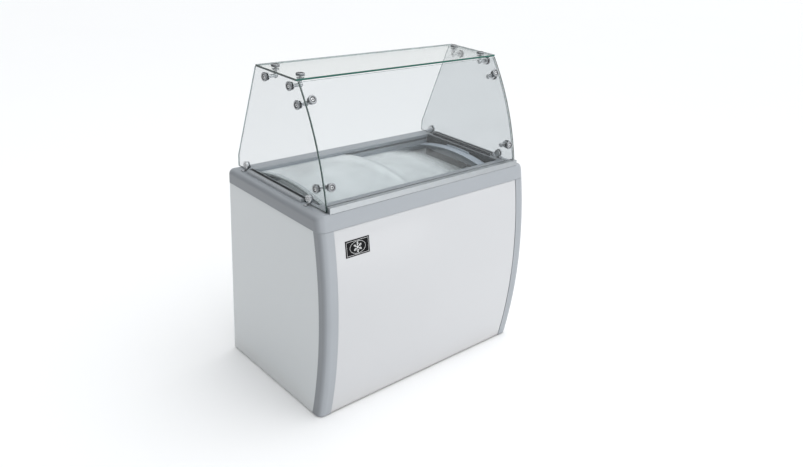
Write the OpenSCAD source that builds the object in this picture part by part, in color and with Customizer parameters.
// Chest freezer with a curved front, two sliding arched glass lids and a glass guard.
// Origin: middle of the base, on the floor. X to the right, Y to the back, Z up. Millimetres.

/* [Cabinet] */
// Width over the side panels
cabinet_w = 1112; // [1080:1:1200]
// Depth from the belly of the front to the back of the top frame
overall_d = 683; // [683:1:720]
// Height of the lower edge of the top frame
body_h = 794; // [780:1:810]
// Radius of the curved front
belly_r = 2041; // [1900:1:2400]
// Height of the furthest point of the curved front
belly_z = 358; // [330:1:400]
// Height of the sheet metal above the floor
floor_gap = 5; // [3:1:12]
// Thickness of the outer sheets
sheet_t = 2; // [1:0.5:2]
// Width of a corner post seen from the front
post_face_w = 56; // [45:1:60]
// Depth of a corner post seen from the side
post_side_d = 47; // [40:1:60]
// Radius of a corner post's outer corner
post_corner_r = 26; // [18:1:30]

/* [Top frame] */
// Height of the top frame
frame_h = 62; // [62:1:62]
// Distance the frame stands proud of each side panel
frame_side_over = 5; // [5:1:8]
// Distance the frame stands proud of the rear panel
frame_back_over = 8; // [6:1:12]
// Distance of the frame's front face behind the belly
frame_setback = 51; // [50:1:53]
// Radius of the frame's outer top edge
frame_edge_r = 20; // [18:1:22]
// Radius of the frame's corners in plan
frame_corner_r = 28; // [24:1:40]
// Wall thickness of the frame
frame_t = 4; // [3:0.5:4]

/* [Throat and tracks] */
// Clear width of the throat
throat_w = 968; // [960:1:980]
// Clear depth of the throat
throat_d = 448; // [440:1:450]
// Distance of the throat's middle behind the origin
throat_y = 37.5; // [35:0.5:40]
// Depth of the grooves that the lids slide in
groove_d = 14; // [12:1:14]
// Height of each groove
groove_h = 10; // [10:1:10]
// Floor of the upper groove, for the left lid
groove_z_left = 833; // [833:1:833]
// Floor of the lower groove, for the right lid
groove_z_right = 802; // [802:1:802]

/* [Lids] */
// Length of the left lid
lid_len_left = 445; // [430:1:450]
// Length of the right lid
lid_len_right = 515; // [500:1:520]
// Rise of the arched glass between its edges
lid_rise = 32; // [28:1:32]
// Thickness of the lid glass
lid_glass_t = 4; // [4:0.5:5]

/* [Glass guard] */
// Height of the top glass above the floor
guard_h = 1300; // [1280:1:1330]
// Width over the two side glasses
guard_w = 1028; // [1020:1:1030]
// Width of the top glass
top_glass_w = 1035; // [1032:1:1040]
// Thickness of the side and front glass
guard_glass_t = 6; // [5:0.5:6]
// Thickness of the top glass
top_glass_t = 8; // [6:1:8]
// Radius of the curved front glass
guard_r = 1100; // [1095:1:1105]
// Radius of the round glass connectors
disc_r = 16.5; // [14:0.5:18]

/* [Tank] */
// Inner length of the tank
tank_w = 964; // [950:1:966]
// Inner depth of the tank from front to back
tank_d = 480; // [470:1:484]
// Height of the tank's floor
tank_floor_z = 190; // [170:1:220]
// Height of the step over the machine bay
tank_step_z = 380; // [375:1:400]
// Radius of the tank's upright corners
tank_corner_r = 15; // [12:1:40]

/* [Hidden] */

// Cabinet planes
half_w = cabinet_w / 2;
front_y = -overall_d / 2;
frame_back_y = overall_d / 2;
body_back_y = frame_back_y - frame_back_over;
belly_cy = front_y + belly_r;
shell_top_z = body_h - 0.2;
frame_top_z = body_h + frame_h;
frame_plate_z = frame_top_z - frame_t;
frame_half_w = half_w + frame_side_over;
frame_front_y = front_y + frame_setback;
panel_setback = 1.5;
side_flange = 14;

// Throat planes
throat_half_w = throat_w / 2;
throat_back_y = throat_y + throat_d / 2;
throat_front_y = throat_y - throat_d / 2;
throat_z = 786;
throat_wall_t = 6;
track_t = 22;
nose_d = 9.5;
seam = 0.5;
exit_x = 372;
exit_d = 25;

// Lid geometry
lid_half_chord = throat_d / 2 + 4;
lid_r = (pow(lid_half_chord, 2) + pow(lid_rise, 2)) / (2 * lid_rise);
lid_edge_lift = 7;
lid_peak_left = groove_z_left + lid_edge_lift + lid_rise;
lid_peak_right = groove_z_right + lid_edge_lift + lid_rise;
lid_end_gap = 14;
lid_cheek_t = 4;
left_lid_x0 = -throat_half_w + lid_end_gap;
left_lid_x1 = left_lid_x0 + lid_len_left;
right_lid_x1 = throat_half_w - lid_end_gap;
right_lid_x0 = right_lid_x1 - lid_len_right;
trim_w_left = 20;
trim_w_right = 44;

// Guard geometry: the curved front glass is a cylinder round this centre line
guard_half_w = guard_w / 2;
guard_cy = front_y + 1158.1;
guard_cz = frame_top_z - 197.9;
guard_base_z = frame_top_z + 2;
side_glass_top_z = guard_h - top_glass_t - 0.5;
top_glass_y0 = body_back_y - 412.6;
top_glass_y1 = body_back_y - 147.5;
connector_r = guard_r - 41.5;
front_connector_angles = [31.4, 15.0];
top_connector_side_y = [body_back_y - 210, body_back_y - 370];
top_connector_z = guard_h - 34;
top_connector_x = 470;
front_connector_x = 480;
bracket_spots = [[body_back_y - 67, frame_top_z + 22], [body_back_y - 500, frame_top_z + 24]];
bracket_foot_x = guard_half_w + 18;
bolt_r = 5;
glass_hole_r = 6;
disc_t = 9;
pad_r = 14;
pad_t = 4;
stub_r = 6.5;
ball_r = 10;
channel_y0 = body_back_y - 466;
channel_y1 = body_back_y - 93;
channel_h = 14;
channel_out = 16;
channel_in = 8;
front_glass_half_w = guard_half_w - guard_glass_t - 2;
front_channel_half_w = front_glass_half_w + 1.7;
front_channel_h = 23;
front_channel_y0 = body_back_y - 614;
front_channel_y1 = body_back_y - 588;

// Tank and machine bay
tank_t = 2;
tank_half_w = tank_w / 2;
tank_back_y = throat_y + tank_d / 2;
tank_front_y = throat_y - tank_d / 2;
tank_step_x = 230;
coil_gap = 10;
coil_r = 4;
coil_levels = [420 : 60 : 720];
bay_x = 248;
bay_front_y = -226;
bay_top_z = 340;
bay_mid_x = 400;
liner_t = 1.5;
base_top_z = floor_gap + 3;
foam_z = 24;
compressor_y = -70;
compressor_r = 78;
compressor_h = 165;
compressor_z = base_top_z + 9;
foot_spots = [for (x = [-470, 470], y = [-220, 290]) [x, y]];

// Screws that hold the rear panel and the grille
screw_head_r = 4.5;
screw_shank_r = 2;
panel_screw_x = half_w - 10;
panel_screw_levels = [60, 230, 400, 570, 740];
grille_x0 = 262;
grille_x1 = 538;
grille_z0 = 30;
grille_z1 = 258;
grille_screws = [for (x = [grille_x0 + 7, bay_mid_x, grille_x1 - 7], z = [grille_z0 + 7, grille_z1 - 7]) [x, z]];

// Fan, controls and drain
fan_z = 145;
fan_y = 238;
fan_r = 88;
blade_count = 5;
knob_x = 490;
rocker_x = 410;
gland_x = 310;
control_z = 299;
tray_x0 = 280;
tray_x1 = 520;
tray_d = 24;
tray_half_h = 27;
shaft_r = 3;
running_gap = 0.05;
rocker_tilt = 8;
drain_x = -420;
drain_y = 200;
drain_z = 70;
drain_r = 9;

// Badge
badge_x0 = -454;
badge_x1 = -342;
badge_z0 = 681;
badge_z1 = 744;

// A block between two corners
module slab(x0, x1, y0, y1, z0, z1) {
    translate([x0, y0, z0]) cube([x1 - x0, y1 - y0, z1 - z0]);
}

// A round bar along X, Y or Z between two ends
module bar_x(x0, x1, y, z, r) {
    translate([x0, y, z]) rotate([0, 90, 0]) cylinder(r = r, h = x1 - x0, $fn = 48);
}
module bar_y(x, y0, y1, z, r) {
    translate([x, y0, z]) rotate([-90, 0, 0]) cylinder(r = r, h = y1 - y0, $fn = 48);
}
module bar_z(x, y, z0, z1, r) {
    translate([x, y, z0]) cylinder(r = r, h = z1 - z0, $fn = 48);
}

// A block with round upright corners
module round_block(x0, x1, y0, y1, z0, z1, r) {
    translate([0, 0, z0]) linear_extrude(z1 - z0) {
        translate([x0 + r, y0]) square([x1 - x0 - 2 * r, y1 - y0]);
        translate([x0, y0 + r]) square([x1 - x0, y1 - y0 - 2 * r]);
        for (x = [x0 + r, x1 - r], y = [y0 + r, y1 - r]) translate([x, y]) circle(r = r, $fn = 64);
    }
}

// A big cylinder along X, used to cut and to make curved sheets
module drum(x0, x1, cy, cz, r) {
    translate([x0, cy, cz]) rotate([0, 90, 0]) cylinder(r = r, h = x1 - x0, $fn = 720);
}

// A curved sheet between two radii, kept inside a box
module curved_sheet(x0, x1, cy, cz, r0, r1, y0, y1, z0, z1) {
    intersection() {
        difference() {
            drum(x0, x1, cy, cz, r1);
            drum(x0 - 1, x1 + 1, cy, cz, r0);
        }
        slab(x0 - 2, x1 + 2, y0, y1, z0, z1);
    }
}

// A sheet that follows the curved front of the cabinet
module belly_sheet(x0, x1, r0, r1, z0, z1) {
    curved_sheet(x0, x1, belly_cy, belly_z, r0, r1, front_y - 1, front_y + 200, z0, z1);
}

// ---------- cabinet ----------

module side_panel(side) {
    front_r = belly_r - post_side_d;
    difference() {
        union() {
            intersection() {
                slab(min(side * half_w, side * (half_w - sheet_t)), max(side * half_w, side * (half_w - sheet_t)),
                     front_y, body_back_y, floor_gap, shell_top_z);
                drum(-half_w - 1, half_w + 1, belly_cy, belly_z, front_r);
            }
            x_a = side * (half_w - sheet_t - side_flange);
            x_b = side * (half_w - sheet_t);
            belly_sheet(min(x_a, x_b), max(x_a, x_b), front_r - sheet_t, front_r, floor_gap, shell_top_z);
            slab(min(x_a, x_b), max(x_a, x_b), body_back_y - 2 * sheet_t, body_back_y - sheet_t,
                 floor_gap, shell_top_z);
        }
        for (z = panel_screw_levels)
            bar_y(side * panel_screw_x, body_back_y - 20, body_back_y + 1, z, screw_shank_r + 0.3);
    }
}

module side_panel_left() {
    color([0.93, 0.94, 0.95]) side_panel(-1);
}

module side_panel_right() {
    color([0.93, 0.94, 0.95]) side_panel(1);
}

module front_panel() {
    face_x = half_w - post_face_w;
    outer = belly_r - panel_setback;
    color([0.97, 0.97, 0.98])
        belly_sheet(-face_x, face_x, outer - sheet_t, outer, floor_gap, shell_top_z);
}

// Outline of a post, as radius from the belly's centre line against distance from the middle
module post_outline(r0, r1, x0, x1, corner) {
    translate([r0, x0]) square([r1 - r0 - corner, x1 - x0]);
    translate([r0, x0]) square([r1 - r0, x1 - x0 - corner]);
    translate([r1 - corner, x1 - corner]) intersection() {
        circle(r = corner, $fn = 64);
        square([corner, corner]);
    }
}

module corner_post() {
    wall = 3;
    inner_x = half_w - post_face_w;
    intersection() {
        translate([0, belly_cy, belly_z]) rotate([0, 90, 0]) rotate([0, 0, 255])
            rotate_extrude(angle = 30, $fn = 720)
                difference() {
                    post_outline(belly_r - post_side_d, belly_r, inner_x, half_w, post_corner_r);
                    post_outline(belly_r - post_side_d - 1, belly_r - wall, inner_x - 1, half_w - wall,
                                 post_corner_r - wall);
                }
        slab(0, half_w + 1, front_y - 1, front_y + 200, floor_gap, shell_top_z);
    }
}

module corner_post_left() {
    color([0.66, 0.69, 0.73]) mirror([1, 0, 0]) corner_post();
}

module corner_post_right() {
    color([0.66, 0.69, 0.73]) corner_post();
}

module rear_panel() {
    inner_x = half_w - sheet_t - 0.3;
    color([0.9, 0.91, 0.92]) difference() {
        slab(-inner_x, inner_x, body_back_y - sheet_t, body_back_y, floor_gap, shell_top_z);
        slab(grille_x0 + 14, grille_x1 - 14, body_back_y - 9, body_back_y + 9, grille_z0 + 14, grille_z1 - 14);
        slab(tray_x0, tray_x1, body_back_y - 9, body_back_y + 9, control_z - tray_half_h, control_z + tray_half_h);
        bar_y(drain_x, body_back_y - 9, body_back_y + 9, drain_z, drain_r + 0.5);
        for (x = [-panel_screw_x, panel_screw_x], z = panel_screw_levels)
            bar_y(x, body_back_y - 9, body_back_y + 9, z, screw_shank_r + 0.3);
        for (spot = grille_screws)
            bar_y(spot[0], body_back_y - 9, body_back_y + 9, spot[1], screw_shank_r + 0.3);
    }
}

module rear_grille() {
    slot_w = 112;
    slot_h = 9;
    pitch = 17;
    color([0.35, 0.36, 0.38]) difference() {
        slab(grille_x0, grille_x1, body_back_y, body_back_y + 2, grille_z0, grille_z1);
        for (row = [0 : 11], x = [bay_mid_x - slot_w - 6, bay_mid_x + 6])
            slab(x, x + slot_w, body_back_y - 1, body_back_y + 3,
                 grille_z0 + 20 + row * pitch, grille_z0 + 20 + row * pitch + slot_h);
        for (spot = grille_screws)
            bar_y(spot[0], body_back_y - 1, body_back_y + 3, spot[1], screw_shank_r + 0.3);
    }
}

module panel_screw(x, y, z) {
    shank = 3.5;
    bar_y(x, y - shank, y + 0.1, z, screw_shank_r);
    difference() {
        bar_y(x, y, y + 2.2, z, screw_head_r);
        slab(x - 2.6, x + 2.6, y + 1.2, y + 3, z - 0.5, z + 0.5);
        slab(x - 0.5, x + 0.5, y + 1.2, y + 3, z - 2.6, z + 2.6);
    }
}

module panel_screws() {
    color([0.75, 0.76, 0.78]) {
        for (x = [-panel_screw_x, panel_screw_x], z = panel_screw_levels) panel_screw(x, body_back_y, z);
        for (spot = grille_screws) panel_screw(spot[0], body_back_y + 2, spot[1]);
    }
}

module base_pan() {
    color([0.72, 0.73, 0.75]) difference() {
        union() {
            intersection() {
                slab(-half_w + 3, half_w - 3, front_y, body_back_y - 2 * sheet_t - 1, floor_gap, base_top_z);
                drum(-half_w, half_w, belly_cy, belly_z, belly_r - post_side_d - 4);
            }
            for (x = [-330, 0, 170])
                slab(x - 20, x + 20, -240, 320, base_top_z - 1, foam_z);
        }
        for (spot = foot_spots) bar_z(spot[0], spot[1], 0, 30, 4.3);
    }
}

module levelling_feet() {
    color([0.12, 0.12, 0.13]) for (spot = foot_spots) {
        bar_z(spot[0], spot[1], 0, floor_gap, 18);
        bar_z(spot[0], spot[1], floor_gap - 0.5, base_top_z + 8, 4);
    }
}

// ---------- cold space ----------

module tank_block(grow, top_z) {
    round_block(-tank_half_w - grow, tank_step_x + grow, tank_front_y - grow, tank_back_y + grow,
                tank_floor_z - grow, top_z, tank_corner_r + grow);
    round_block(-tank_half_w - grow, tank_half_w + grow, tank_front_y - grow, tank_back_y + grow,
                tank_step_z - grow, top_z, tank_corner_r + grow);
}

module inner_tank() {
    color([0.95, 0.96, 0.96]) difference() {
        tank_block(tank_t, throat_z);
        tank_block(0, throat_z + 1);
        bar_z(drain_x, drain_y, tank_floor_z - 9, tank_floor_z + 9, drain_r - 2);
    }
}

module insulation_foam() {
    side_x = half_w - sheet_t - side_flange - 1;
    door_x = half_w - post_face_w - 5;
    color([0.93, 0.87, 0.62]) difference() {
        union() {
            intersection() {
                slab(-side_x, side_x, front_y, body_back_y - 2 * sheet_t - 1, foam_z, throat_z - 1);
                drum(-half_w, half_w, belly_cy, belly_z, belly_r - post_side_d - 4);
            }
            belly_sheet(-door_x, door_x, belly_r - post_side_d - 5, belly_r - panel_setback - sheet_t - 0.5,
                        foam_z, throat_z - 1);
        }
        tank_block(coil_gap + tank_t, throat_z + 1);
        slab(bay_x, half_w, bay_front_y, body_back_y, 0, bay_top_z);
        bar_z(drain_x, drain_y, drain_z, tank_floor_z, drain_r + 1);
        bar_y(drain_x, drain_y - drain_r - 1, body_back_y, drain_z, drain_r + 1);
        for (spot = foot_spots) bar_z(spot[0], spot[1], 0, 30, 6);
    }
}

module coil_loop(z) {
    off = tank_t + coil_gap / 2;
    bend = tank_corner_r + off;
    x1 = tank_half_w + off;
    y0 = tank_front_y - off;
    y1 = tank_back_y + off;
    for (y = [y0, y1]) bar_x(-x1 + bend, x1 - bend, y, z, coil_r);
    for (x = [-x1, x1]) bar_y(x, y0 + bend, y1 - bend, z, coil_r);
    for (corner = [[x1, y1, 0], [-x1, y1, 90], [-x1, y0, 180], [x1, y0, 270]])
        translate([corner[0] - sign(corner[0]) * bend, corner[1] - (corner[2] < 135 ? bend : -bend), z])
            rotate([0, 0, corner[2]])
                rotate_extrude(angle = 90, $fn = 96) translate([bend, 0]) circle(r = coil_r, $fn = 32);
}

module evaporator_coil() {
    header_y = tank_back_y + tank_t + coil_gap / 2;
    color([0.78, 0.5, 0.32]) {
        for (z = coil_levels) coil_loop(z);
        for (x = [300, 340]) bar_z(x, header_y, 420, 720, coil_r - 0.5);
    }
}

module machine_bay_liner() {
    depth_y = body_back_y - 2 * sheet_t - 1;
    right_x = half_w - sheet_t - side_flange - 1;
    color([0.7, 0.72, 0.74]) {
        slab(bay_x, bay_x + liner_t, bay_front_y, depth_y, base_top_z, bay_top_z);
        slab(bay_x, right_x, bay_front_y, bay_front_y + liner_t, base_top_z, bay_top_z);
        slab(bay_x, right_x, bay_front_y, depth_y, bay_top_z - liner_t, bay_top_z);
    }
}

// ---------- top frame ----------

// Rounded upper edge, as distance outwards against height
module frame_edge_profile(w, h, r) {
    square([w - r, h]);
    square([w, h - r]);
    translate([w - r, h - r]) intersection() {
        circle(r = r, $fn = 96);
        square([r, r]);
    }
}

// A block whose upper edges and upright corners are round
module pillow(x0, x1, y0, y1, z0, h, corner, edge) {
    cx = [x0 + corner, x1 - corner];
    cy = [y0 + corner, y1 - corner];
    len_x = cx[1] - cx[0];
    len_y = cy[1] - cy[0];
    slab(cx[0], cx[1], cy[0], cy[1], z0, z0 + h);
    for (run = [[cx[0], cy[0], len_x, 0], [cx[1], cy[0], len_y, 90],
                [cx[1], cy[1], len_x, 180], [cx[0], cy[1], len_y, 270]])
        translate([run[0], run[1], z0]) rotate([0, 0, run[3]])
            rotate([90, 0, 90]) linear_extrude(run[2]) mirror([1, 0, 0]) frame_edge_profile(corner, h, edge);
    for (corner_spot = [[cx[1], cy[1], 0], [cx[0], cy[1], 90], [cx[0], cy[0], 180], [cx[1], cy[0], 270]])
        translate([corner_spot[0], corner_spot[1], z0]) rotate([0, 0, corner_spot[2]])
            rotate_extrude(angle = 90, $fn = 96) frame_edge_profile(corner, h, edge);
}

module top_frame() {
    frame_open_x = throat_half_w + throat_wall_t + seam;
    open_y0 = throat_front_y - nose_d - seam;
    open_y1 = throat_back_y + nose_d + seam;
    color([0.66, 0.69, 0.73]) difference() {
        pillow(-frame_half_w, frame_half_w, frame_front_y, frame_back_y, body_h, frame_h,
               frame_corner_r, frame_edge_r);
        pillow(-frame_half_w + frame_t, frame_half_w - frame_t, frame_front_y + frame_t, frame_back_y - frame_t,
               body_h - 1, frame_h - frame_t + 1, frame_corner_r - frame_t, frame_edge_r - frame_t);
        slab(-frame_open_x, frame_open_x, open_y0, open_y1, body_h, frame_top_z + 1);
        slab(exit_x, frame_open_x, open_y1 - 1, open_y1 + exit_d, body_h, frame_top_z + 1);
        for (x = [-1, 1], spot = bracket_spots)
            bar_z(x * bracket_foot_x, spot[0], frame_plate_z - 1, frame_top_z + 1, screw_shank_r + 0.3);
    }
}

// ---------- throat and tracks ----------

// Track for the rear edge of the lids; the front track is its mirror image
module track(nose_top) {
    end_x = throat_half_w + throat_wall_t;
    difference() {
        union() {
            slab(-end_x, end_x, throat_back_y, throat_back_y + track_t, throat_z, frame_plate_z - 0.2);
            slab(-end_x, end_x, throat_back_y, throat_back_y + nose_d, throat_z, nose_top);
        }
        for (z = [groove_z_left, groove_z_right])
            slab(-throat_half_w, throat_half_w, throat_back_y - 1, throat_back_y + groove_d, z, z + groove_h);
    }
}

module track_rear() {
    color([0.74, 0.77, 0.81]) {
        track(frame_top_z);
        slab(exit_x + seam, throat_half_w + throat_wall_t, throat_back_y, throat_back_y + nose_d + exit_d,
             frame_plate_z - 6, frame_top_z);
    }
}

module track_front() {
    color([0.74, 0.77, 0.81])
        translate([0, 2 * throat_y, 0]) mirror([0, 1, 0]) track(frame_top_z);
}

module throat_wall() {
    slab(throat_half_w, throat_half_w + throat_wall_t, throat_front_y + 0.1, throat_back_y - 0.1,
         throat_z, frame_top_z);
}

module throat_left() {
    color([0.5, 0.53, 0.57]) mirror([1, 0, 0]) throat_wall();
}

module throat_right() {
    color([0.5, 0.53, 0.57]) throat_wall();
}

// ---------- lids ----------

// Part of the lid's arch between two radii, measured from the top face of its glass
module lid_arch(peak_z, below, above, x0, x1, half_y) {
    cz = peak_z - lid_r;
    curved_sheet(x0, x1, throat_y, cz, lid_r - below, lid_r + above,
                 throat_y - half_y, throat_y + half_y, cz, peak_z + above + 1);
}

module lid_glass(peak_z, x0, x1) {
    lid_arch(peak_z, lid_glass_t, 0, x0, x1, lid_half_chord);
}

// Slide rails on the front and rear edges of a lid, with a slot for its glass
module lid_rails(groove_z, peak_z, x0, x1) {
    inner = throat_d / 2 - 5;
    outer = throat_d / 2 + groove_d - 2;
    for (way = [-1, 1])
        difference() {
            slab(x0, x1, throat_y + min(way * inner, way * outer), throat_y + max(way * inner, way * outer),
                 groove_z + 0.2, groove_z + groove_h - 0.6);
            lid_glass(peak_z, x0 - 1, x1 + 1);
        }
}

// Segment-shaped plate that closes the arch at a lid's outer end
module lid_end_plate(peak_z, bottom_z, x0, x1) {
    cz = peak_z - lid_r;
    half_y = throat_d / 2 - 5;
    intersection() {
        drum(x0, x1, throat_y, cz, lid_r - lid_glass_t);
        slab(x0 - 1, x1 + 1, throat_y - half_y, throat_y + half_y, bottom_z, peak_z);
    }
}

// End trim of a lid: a strip over the glass and a thin cheek that covers the glass's end
module lid_end_trim(peak_z, x_in, x_out, height) {
    strip_half_y = throat_d / 2 - 8;
    cheek_x = x_out - sign(x_out) * lid_cheek_t;
    lid_arch(peak_z, 0, height, min(x_in, x_out), max(x_in, x_out), strip_half_y);
    lid_arch(peak_z, lid_glass_t + 1, height, min(cheek_x, x_out), max(cheek_x, x_out), strip_half_y);
}

module lid_glass_left() {
    color([0.75, 0.85, 0.84, 0.4]) lid_glass(lid_peak_left, left_lid_x0 + lid_cheek_t, left_lid_x1);
}

module lid_rails_left() {
    color([0.62, 0.65, 0.69]) lid_rails(groove_z_left, lid_peak_left, left_lid_x0, left_lid_x1);
}

module lid_handle_left() {
    color([0.5, 0.53, 0.58]) lid_end_trim(lid_peak_left, left_lid_x0 + trim_w_left, left_lid_x0, 3);
}

module lid_wiper_left() {
    color([0.82, 0.85, 0.86])
        lid_arch(lid_peak_left, 10, -lid_glass_t, left_lid_x1 - 3, left_lid_x1, throat_d / 2 - 8);
}

module lid_glass_right() {
    color([0.75, 0.85, 0.84, 0.4]) lid_glass(lid_peak_right, right_lid_x0, right_lid_x1 - lid_cheek_t);
}

module lid_rails_right() {
    color([0.62, 0.65, 0.69]) lid_rails(groove_z_right, lid_peak_right, right_lid_x0, right_lid_x1);
}

// One moulded piece: end trim, finger lip and the plate under the arch
module lid_handle_right() {
    cheek_x = right_lid_x1 - lid_cheek_t;
    color([0.66, 0.69, 0.74]) {
        lid_end_trim(lid_peak_right, right_lid_x1 - trim_w_right, right_lid_x1, 5);
        lid_arch(lid_peak_right, 0, 12, cheek_x, right_lid_x1, 70);
        lid_end_plate(lid_peak_right, throat_z + 9, cheek_x, right_lid_x1);
    }
}

module lid_wiper_right() {
    color([0.82, 0.85, 0.86])
        lid_arch(lid_peak_right, 0, 3, right_lid_x0, right_lid_x0 + 3, throat_d / 2 - 8);
}

// ---------- glass guard ----------

module front_glass_channel() {
    color([0.86, 0.87, 0.89]) difference() {
        slab(-front_channel_half_w, front_channel_half_w, front_channel_y0, front_channel_y1,
             frame_top_z, frame_top_z + front_channel_h);
        curved_sheet(-front_glass_half_w - 0.3, front_glass_half_w + 0.3, guard_cy, guard_cz,
                     guard_r - guard_glass_t - 0.3, guard_r + 0.3, front_channel_y0 - 5, front_channel_y1 + 5,
                     guard_base_z + 1, frame_top_z + front_channel_h + 1);
    }
}

module side_glass_channel() {
    slot = 0.3;
    difference() {
        slab(guard_half_w - guard_glass_t - channel_in, guard_half_w + channel_out, channel_y0, channel_y1,
             frame_top_z, frame_top_z + channel_h);
        slab(guard_half_w - guard_glass_t - slot, guard_half_w + slot, channel_y0 - 1, channel_y1 + 1,
             guard_base_z, frame_top_z + channel_h + 1);
    }
}

module side_glass_channel_left() {
    color([0.78, 0.8, 0.83]) mirror([1, 0, 0]) side_glass_channel();
}

module side_glass_channel_right() {
    color([0.78, 0.8, 0.83]) side_glass_channel();
}

// Black strips that seal the glass on both sides of each side channel
module channel_gaskets() {
    strip = 2;
    top_z = frame_top_z + channel_h;
    color([0.1, 0.1, 0.11]) for (way = [-1, 1], x = [guard_half_w + 0.1, guard_half_w - guard_glass_t - strip - 0.1])
        slab(min(way * x, way * (x + strip)), max(way * x, way * (x + strip)), channel_y0, channel_y1,
             top_z, top_z + strip);
}

// Shape of a side glass, as Y against Z
module side_glass_outline() {
    back_step_z = frame_top_z + 48;
    intersection() {
        translate([guard_cy, guard_cz]) circle(r = guard_r, $fn = 720);
        polygon([
            [body_back_y, guard_base_z], [body_back_y, back_step_z],
            [body_back_y - 138, side_glass_top_z], [front_y + 40, side_glass_top_z],
            [front_y + 40, guard_base_z]
        ]);
    }
}

module glass_side() {
    difference() {
        translate([guard_half_w - guard_glass_t, 0, 0]) rotate([90, 0, 90])
            linear_extrude(guard_glass_t) side_glass_outline();
        for (y = top_connector_side_y)
            bar_x(guard_half_w - 20, guard_half_w + 20, y, top_connector_z, glass_hole_r);
        for (a = front_connector_angles)
            bar_x(guard_half_w - 20, guard_half_w + 20, guard_cy - connector_r * cos(a),
                  guard_cz + connector_r * sin(a), glass_hole_r);
        for (spot = bracket_spots)
            bar_x(guard_half_w - 20, guard_half_w + 20, spot[0], spot[1], glass_hole_r);
    }
}

module glass_side_left() {
    color([0.78, 0.88, 0.86, 0.35]) mirror([1, 0, 0]) glass_side();
}

module glass_side_right() {
    color([0.78, 0.88, 0.86, 0.35]) glass_side();
}

// Puts its children on a line that points out from the centre line of the front glass
module at_front_connector(x, a) {
    translate([x, guard_cy, guard_cz]) rotate([-a, 0, 0]) rotate([90, 0, 0]) children();
}

module glass_front() {
    color([0.78, 0.88, 0.86, 0.35]) difference() {
        curved_sheet(-front_glass_half_w, front_glass_half_w, guard_cy, guard_cz, guard_r - guard_glass_t, guard_r,
                     front_y, guard_cy, guard_base_z + 1, side_glass_top_z - 1);
        for (x = [-front_connector_x, front_connector_x], a = front_connector_angles)
            at_front_connector(x, a) translate([0, 0, guard_r - 20]) cylinder(r = glass_hole_r, h = 40, $fn = 48);
    }
}

module glass_top() {
    color([0.78, 0.88, 0.86, 0.35]) difference() {
        slab(-top_glass_w / 2, top_glass_w / 2, top_glass_y0, top_glass_y1, guard_h - top_glass_t, guard_h);
        for (x = [-top_connector_x, top_connector_x], y = top_connector_side_y)
            bar_z(x, y, guard_h - 20, guard_h + 5, glass_hole_r);
    }
}

// Arm of an elbow along Z from its ball: stub, pad against the glass and bolt through it
module elbow_arm(arm_len, bolt_len) {
    rotate_extrude($fn = 48) polygon([
        [0, 0], [stub_r, 0], [stub_r, arm_len - pad_t], [pad_r, arm_len - pad_t], [pad_r, arm_len],
        [bolt_r, arm_len], [bolt_r, arm_len + bolt_len], [0, arm_len + bolt_len]
    ]);
}

// Elbow under the top glass: one arm to the side glass, one arm up to the top glass
module top_elbow(y) {
    inner_x = guard_half_w - guard_glass_t;
    under_z = guard_h - top_glass_t;
    translate([top_connector_x, y, top_connector_z]) {
        sphere(r = ball_r, $fn = 48);
        rotate([0, 90, 0]) elbow_arm(inner_x - top_connector_x, guard_glass_t);
        elbow_arm(under_z - top_connector_z, top_glass_t);
    }
}

module connectors_top() {
    color([0.74, 0.75, 0.76]) for (y = top_connector_side_y) {
        top_elbow(y);
        mirror([1, 0, 0]) top_elbow(y);
    }
}

// Elbow behind the front glass: one arm to the side glass, one arm out to the front glass
module front_elbow(a) {
    inner_x = guard_half_w - guard_glass_t;
    behind = guard_r - guard_glass_t - 0.3;
    translate([front_connector_x, guard_cy - connector_r * cos(a), guard_cz + connector_r * sin(a)]) {
        rotate([0, 0, 135]) sphere(r = ball_r, $fn = 48);
        rotate([0, 90, 0]) elbow_arm(inner_x - front_connector_x, guard_glass_t);
        rotate([90 - a, 0, 0]) elbow_arm(behind - connector_r, guard_r + 0.3 - behind);
    }
}

module connectors_front() {
    color([0.74, 0.75, 0.76]) for (a = front_connector_angles) {
        front_elbow(a);
        mirror([1, 0, 0]) front_elbow(a);
    }
}

// Round outer clamp: rounded rim, a hollow for the bolt's socket and a small bolt head in it
module clamp_disc() {
    rim = 2;
    rotate_extrude($fn = 64) difference() {
        union() {
            square([disc_r, disc_t - rim]);
            square([disc_r - rim, disc_t]);
            translate([disc_r - rim, disc_t - rim]) circle(r = rim, $fn = 32);
        }
        translate([7, disc_t - 3]) square([3, 4]);
        translate([-1, disc_t - 4]) square([4, 5]);
    }
}

module side_clamp_discs() {
    for (y = top_connector_side_y)
        translate([guard_half_w, y, top_connector_z]) rotate([0, 90, 0]) clamp_disc();
    for (a = front_connector_angles)
        translate([guard_half_w, guard_cy - connector_r * cos(a), guard_cz + connector_r * sin(a)])
            rotate([0, 90, 0]) clamp_disc();
    for (y = top_connector_side_y) translate([top_connector_x, y, guard_h]) clamp_disc();
    for (a = front_connector_angles)
        at_front_connector(front_connector_x, a) translate([0, 0, guard_r + 0.3]) clamp_disc();
}

module connector_discs() {
    color([0.78, 0.79, 0.8]) {
        side_clamp_discs();
        mirror([1, 0, 0]) side_clamp_discs();
    }
}

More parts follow.
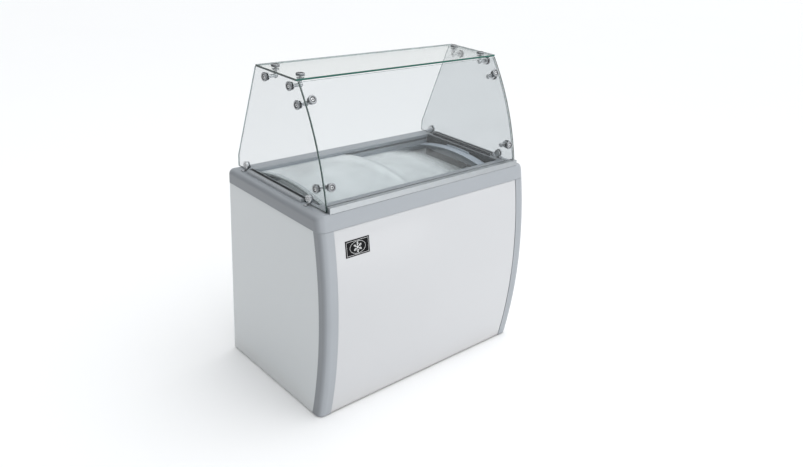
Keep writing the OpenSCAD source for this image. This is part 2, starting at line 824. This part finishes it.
// Lower bracket: a disc on the outside of the side glass with a leg down to the frame
module bracket_leg(spot) {
    leg_half = 8;
    inner_x = guard_half_w - guard_glass_t;
    translate([guard_half_w, spot[0], spot[1]]) rotate([0, 90, 0]) clamp_disc();
    difference() {
        union() {
            slab(guard_half_w, guard_half_w + disc_t - 2, spot[0] - leg_half, spot[0] + leg_half,
                 frame_top_z, spot[1] - 6);
            slab(guard_half_w, bracket_foot_x + 6, spot[0] - leg_half, spot[0] + leg_half,
                 frame_top_z, frame_top_z + 3);
        }
        bar_z(bracket_foot_x, spot[0], frame_top_z - 1, frame_top_z + 4, screw_shank_r + 0.3);
    }
    bar_x(inner_x - 1, guard_half_w + 1, spot[0], spot[1], bolt_r);
    bar_x(inner_x - pad_t, inner_x, spot[0], spot[1], pad_r);
}

module bracket_legs() {
    color([0.76, 0.77, 0.78]) for (spot = bracket_spots) {
        bracket_leg(spot);
        mirror([1, 0, 0]) bracket_leg(spot);
    }
}

module bracket_screws() {
    color([0.7, 0.71, 0.72]) for (way = [-1, 1], spot = bracket_spots) {
        x = way * bracket_foot_x;
        bar_z(x, spot[0], frame_plate_z, frame_top_z + 3.1, screw_shank_r);
        bar_z(x, spot[0], frame_top_z + 3, frame_top_z + 5, screw_head_r);
    }
}

// ---------- machine bay ----------

module compressor() {
    dome = 30;
    color([0.1, 0.1, 0.11]) {
        translate([bay_mid_x, compressor_y, compressor_z]) rotate_extrude($fn = 96) {
            translate([0, dome]) square([compressor_r, compressor_h - 2 * dome]);
            square([compressor_r - dome, compressor_h]);
            translate([compressor_r - dome, dome]) intersection() {
                circle(r = dome, $fn = 64);
                translate([0, -dome]) square([dome, 2 * dome]);
            }
            translate([compressor_r - dome, compressor_h - dome]) intersection() {
                circle(r = dome, $fn = 64);
                translate([0, -dome]) square([dome, 2 * dome]);
            }
        }
        slab(bay_mid_x - compressor_r - 22, bay_mid_x - compressor_r + 10, compressor_y - 30, compressor_y + 30,
             compressor_z + 50, compressor_z + 115);
    }
}

module compressor_plate() {
    color([0.3, 0.31, 0.32]) {
        slab(bay_mid_x - 95, bay_mid_x + 95, compressor_y - 62, compressor_y + 62,
             compressor_z - 3, compressor_z);
        for (x = [-80, 80], y = [-50, 50])
            bar_z(bay_mid_x + x, compressor_y + y, base_top_z, compressor_z - 2.9, 11);
    }
}

module condenser() {
    fin_count = 16;
    fin_pitch = 14;
    tube_z = [52 : 32 : 244];
    color([0.2, 0.21, 0.22]) {
        for (i = [0 : fin_count - 1])
            slab(bay_mid_x - 106 + i * fin_pitch, bay_mid_x - 104.5 + i * fin_pitch, 272, 318, 36, 256);
        for (z = tube_z) bar_x(bay_mid_x - 120, bay_mid_x + 120, 295, z, 4);
        for (x = [-120, 120]) slab(bay_mid_x + x - 1.5, bay_mid_x + x + 1.5, 270, 320, base_top_z, 258);
    }
}

module fan_shroud() {
    color([0.16, 0.17, 0.18]) {
        difference() {
            slab(bay_mid_x - 110, bay_mid_x + 110, 262, 265, base_top_z, 250);
            bar_y(bay_mid_x, 255, 270, fan_z, fan_r + 4);
        }
        difference() {
            bar_y(bay_mid_x, 240, 263, fan_z, fan_r + 7);
            bar_y(bay_mid_x, 239, 264, fan_z, fan_r + 4);
        }
        slab(bay_mid_x - 12, bay_mid_x + 12, 196, 199, base_top_z, fan_z - 34);
        slab(bay_mid_x - 12, bay_mid_x + 12, 196, 264, base_top_z, base_top_z + 3);
    }
}

module fan_motor() {
    color([0.25, 0.26, 0.28]) {
        bar_y(bay_mid_x, 170, 214, fan_z, 32);
        bar_y(bay_mid_x, 213, 246, fan_z, shaft_r);
        slab(bay_mid_x - 12, bay_mid_x + 12, 199, 208, fan_z - 40, fan_z - 20);
    }
}

module fan_blades() {
    hub_r = 17;
    color([0.82, 0.83, 0.85]) difference() {
        union() {
            bar_y(bay_mid_x, fan_y - 10, fan_y + 10, fan_z, hub_r);
            for (i = [0 : blade_count - 1])
                translate([bay_mid_x, fan_y, fan_z]) rotate([0, i * 360 / blade_count, 0])
                    rotate([0, 0, 28]) translate([-22, -1, hub_r - 5]) cube([44, 2, fan_r - hub_r]);
        }
        bar_y(bay_mid_x, fan_y - 11, fan_y + 9, fan_z, shaft_r + running_gap);
    }
}

module refrigerant_lines() {
    r = 4;
    z_hot = compressor_z + 90;
    x_hot = half_w - 30;
    z_cold = compressor_z + 130;
    x_cold = bay_x + 24;
    color([0.78, 0.5, 0.32]) {
        bar_x(bay_mid_x + compressor_r - 1, x_hot, compressor_y, z_hot, r);
        translate([x_hot, compressor_y, z_hot]) sphere(r = r, $fn = 48);
        bar_y(x_hot, compressor_y, 295, z_hot, r);
        translate([x_hot, 295, z_hot]) sphere(r = r, $fn = 48);
        bar_x(bay_mid_x + 121.5, x_hot, 295, z_hot, r);
        bar_x(x_cold, bay_mid_x - compressor_r + 4, compressor_y, z_cold, r);
        translate([x_cold, compressor_y, z_cold]) sphere(r = r, $fn = 48);
        bar_z(x_cold, compressor_y, z_cold, bay_top_z - liner_t, r);
    }
}

// ---------- controls ----------

module control_tray() {
    wall = 2;
    back_y = body_back_y - tray_d;
    color([0.14, 0.15, 0.16]) difference() {
        slab(tray_x0 + 0.3, tray_x1 - 0.3, back_y, body_back_y + 0.5,
             control_z - tray_half_h + 0.3, control_z + tray_half_h - 0.3);
        slab(tray_x0 + wall, tray_x1 - wall, back_y + wall, body_back_y + 2,
             control_z - tray_half_h + wall, control_z + tray_half_h - wall);
        bar_y(knob_x, back_y - 1, back_y + wall + 1, control_z, shaft_r + running_gap);
        slab(rocker_x - 17, rocker_x + 17, back_y - 1, back_y + wall + 1, control_z - 12, control_z + 12);
        bar_y(gland_x, back_y - 1, back_y + wall + 1, control_z, 9.2);
    }
}

module thermostat_housing() {
    face_y = body_back_y - tray_d;
    color([0.85, 0.84, 0.8]) difference() {
        slab(knob_x - 20, knob_x + 20, face_y - 32, face_y, control_z - 17, control_z + 17);
        bar_y(knob_x, face_y - 10, face_y + 1, control_z, shaft_r + running_gap);
    }
}

// Round knob with a pointer rib; its shaft runs through the tray into the thermostat
module thermostat_knob() {
    face_y = body_back_y - tray_d + 2;
    knob_r = 17;
    color([0.06, 0.06, 0.07]) {
        bar_y(knob_x, face_y - 10, face_y + 2, control_z, shaft_r);
        bar_y(knob_x, face_y + 0.5, face_y + 3, control_z, knob_r);
        bar_y(knob_x, face_y + 2, face_y + 12, control_z, knob_r - 2);
        slab(knob_x - 2.5, knob_x + 2.5, face_y + 11, face_y + 16, control_z - knob_r + 2.5, control_z + knob_r - 2.5);
    }
}

module switch_bezel() {
    face_y = body_back_y - tray_d + 2;
    color([0.08, 0.08, 0.09]) difference() {
        union() {
            slab(rocker_x - 19, rocker_x + 19, face_y, face_y + 2, control_z - 14, control_z + 14);
            slab(rocker_x - 16.8, rocker_x + 16.8, face_y - 22, face_y + 1, control_z - 11.8, control_z + 11.8);
        }
        slab(rocker_x - 14, rocker_x + 14, face_y - 14, face_y + 3, control_z - 8, control_z + 8);
        bar_z(rocker_x, face_y - 3, control_z - 10, control_z + 10, 1.5 + running_gap);
    }
}

// Paddle on two trunnions, drawn in its off position
module switch_rocker() {
    pivot_y = body_back_y - tray_d - 1;
    color([0.5, 0.06, 0.05]) translate([rocker_x, pivot_y, control_z]) rotate([0, 0, -rocker_tilt]) {
        translate([-13, -3, -7.5]) cube([26, 9, 15]);
        translate([0, 0, -9.5]) cylinder(r = 1.5, h = 19, $fn = 48);
    }
}

module cord_gland() {
    back_y = body_back_y - tray_d;
    color([0.1, 0.1, 0.11]) difference() {
        union() {
            bar_y(gland_x, back_y - 8, back_y + 3, control_z, 9);
            bar_y(gland_x, back_y + 2, back_y + 14, control_z, 12);
        }
        bar_y(gland_x, back_y - 9, back_y + 15, control_z, 4.2);
    }
}

// ---------- drain ----------

module drain_tube() {
    bore = drain_r - 2;
    color([0.88, 0.88, 0.86]) difference() {
        union() {
            bar_z(drain_x, drain_y, drain_z, tank_floor_z - tank_t, drain_r);
            translate([drain_x, drain_y, drain_z]) sphere(r = drain_r, $fn = 48);
            bar_y(drain_x, drain_y, body_back_y, drain_z, drain_r);
        }
        bar_z(drain_x, drain_y, drain_z, tank_floor_z, bore);
        bar_y(drain_x, drain_y, body_back_y + 1, drain_z, bore);
    }
}

module drain_cap() {
    color([0.2, 0.2, 0.21]) {
        bar_y(drain_x, body_back_y, body_back_y + 3, drain_z, 16);
        bar_y(drain_x, body_back_y + 2, body_back_y + 7, drain_z, 12);
        bar_y(drain_x, body_back_y - 12, body_back_y + 1, drain_z, drain_r - 2.2);
    }
}

// ---------- badge ----------

module name_badge() {
    face = belly_r - panel_setback;
    color([0.03, 0.03, 0.03]) belly_sheet(badge_x0, badge_x1, face, face + 1.3, badge_z0, badge_z1);
}

side_panel_left();
side_panel_right();
front_panel();
corner_post_left();
corner_post_right();
rear_panel();
rear_grille();
base_pan();
levelling_feet();
inner_tank();
insulation_foam();
evaporator_coil();
machine_bay_liner();
top_frame();
track_rear();
track_front();
throat_left();
throat_right();
front_glass_channel();
side_glass_channel_left();
side_glass_channel_right();
channel_gaskets();
glass_side_left();
glass_side_right();
glass_front();
glass_top();
connectors_top();
connectors_front();
bracket_legs();
connector_discs();
bracket_screws();
lid_glass_left();
lid_rails_left();
lid_handle_left();
lid_wiper_left();
lid_glass_right();
lid_rails_right();
lid_handle_right();
lid_wiper_right();
compressor();
compressor_plate();
condenser();
fan_shroud();
fan_motor();
fan_blades();
refrigerant_lines();
control_tray();
thermostat_housing();
thermostat_knob();
switch_bezel();
switch_rocker();
cord_gland();
drain_tube();
drain_cap();
name_badge();
panel_screws();
